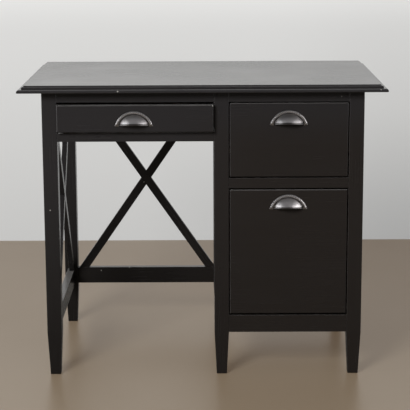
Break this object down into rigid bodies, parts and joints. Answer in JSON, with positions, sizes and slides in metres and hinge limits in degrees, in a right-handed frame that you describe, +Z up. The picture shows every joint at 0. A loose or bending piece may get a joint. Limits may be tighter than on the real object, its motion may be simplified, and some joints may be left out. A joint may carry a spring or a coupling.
{
  "type": "writing desk",
  "caption": "Black single-pedestal writing desk with a moulded top, tapered legs, X-braced kneehole, a pencil drawer and pedestal drawers that slide out on cup pulls.",
  "frame": {"origin": "on the floor, under the centre of the desktop", "axes": "+Z up, +X to the sitter's right along the desktop, the drawers open towards -Y"},
  "size_m": [0.94, 0.6125, 0.772],
  "materials": {
    "black_lacquer": "satin black lacquer",
    "drawer_wood": "clear matt lacquer",
    "drawer_ply": "plain plywood",
    "pewter": "aged pewter plate",
    "zinc_steel": "zinc plate",
    "glide_plastic": "matt"
  },
  "bodies": {
    "frame": {"back_falling_brace": "black_lacquer", "back_left_leg": "black_lacquer", "back_lower_rail": "black_lacquer", "back_middle_leg": "black_lacquer", "back_right_leg": "black_lacquer", "back_rising_brace": "black_lacquer", "back_upper_rail": "black_lacquer", "desktop": "black_lacquer", "file_drawer_left_runner": "drawer_wood", "file_drawer_right_runner": "drawer_wood", "foot_glides": "glide_plastic", "front_left_leg": "black_lacquer", "front_middle_leg": "black_lacquer", "front_right_leg": "black_lacquer", "pedestal_back_panel": "black_lacquer", "pedestal_bottom_panel": "black_lacquer", "pedestal_bottom_rail": "black_lacquer", "pedestal_left_cleat": "drawer_wood", "pedestal_left_panel": "black_lacquer", "pedestal_mid_rail": "black_lacquer", "pedestal_right_cleat": "drawer_wood", "pedestal_right_panel": "black_lacquer", "pedestal_top_rail": "black_lacquer", "pencil_apron_rail": "black_lacquer", "pencil_drawer_left_runner": "drawer_wood", "pencil_drawer_right_runner": "drawer_wood", "pencil_top_rail": "black_lacquer", "runner_screws": "zinc_steel", "side_falling_brace": "black_lacquer", "side_guide_rail": "black_lacquer", "side_lower_rail": "black_lacquer", "side_rising_brace": "black_lacquer", "side_upper_rail": "black_lacquer", "top_bracket_screws": "zinc_steel", "top_brackets": "zinc_steel", "upper_drawer_left_runner": "drawer_wood", "upper_drawer_right_runner": "drawer_wood"},
    "pencil_drawer": {"pencil_drawer_back": "drawer_wood", "pencil_drawer_bottom": "drawer_ply", "pencil_drawer_front": "black_lacquer", "pencil_drawer_left": "drawer_wood", "pencil_drawer_pull": "pewter", "pencil_drawer_pull_screws": "zinc_steel", "pencil_drawer_right": "drawer_wood"},
    "upper_drawer": {"upper_drawer_back": "drawer_wood", "upper_drawer_bottom": "drawer_ply", "upper_drawer_front": "black_lacquer", "upper_drawer_left": "drawer_wood", "upper_drawer_pull": "pewter", "upper_drawer_pull_screws": "zinc_steel", "upper_drawer_right": "drawer_wood"},
    "file_drawer": {"file_drawer_back": "drawer_wood", "file_drawer_bottom": "drawer_ply", "file_drawer_front": "black_lacquer", "file_drawer_left": "drawer_wood", "file_drawer_pull": "pewter", "file_drawer_pull_screws": "zinc_steel", "file_drawer_right": "drawer_wood"}
  },
  "joints": [
    {"name": "pencil_drawer_slide", "type": "slide", "parent": "frame", "child": "pencil_drawer", "axis": [0, -1, 0], "range_m": [-0.018, 0.26]},
    {"name": "upper_drawer_slide", "type": "slide", "parent": "frame", "child": "upper_drawer", "axis": [0, -1, 0], "range_m": [0, 0.33]},
    {"name": "file_drawer_slide", "type": "slide", "parent": "frame", "child": "file_drawer", "axis": [0, -1, 0], "range_m": [0, 0.36]}
  ]
}
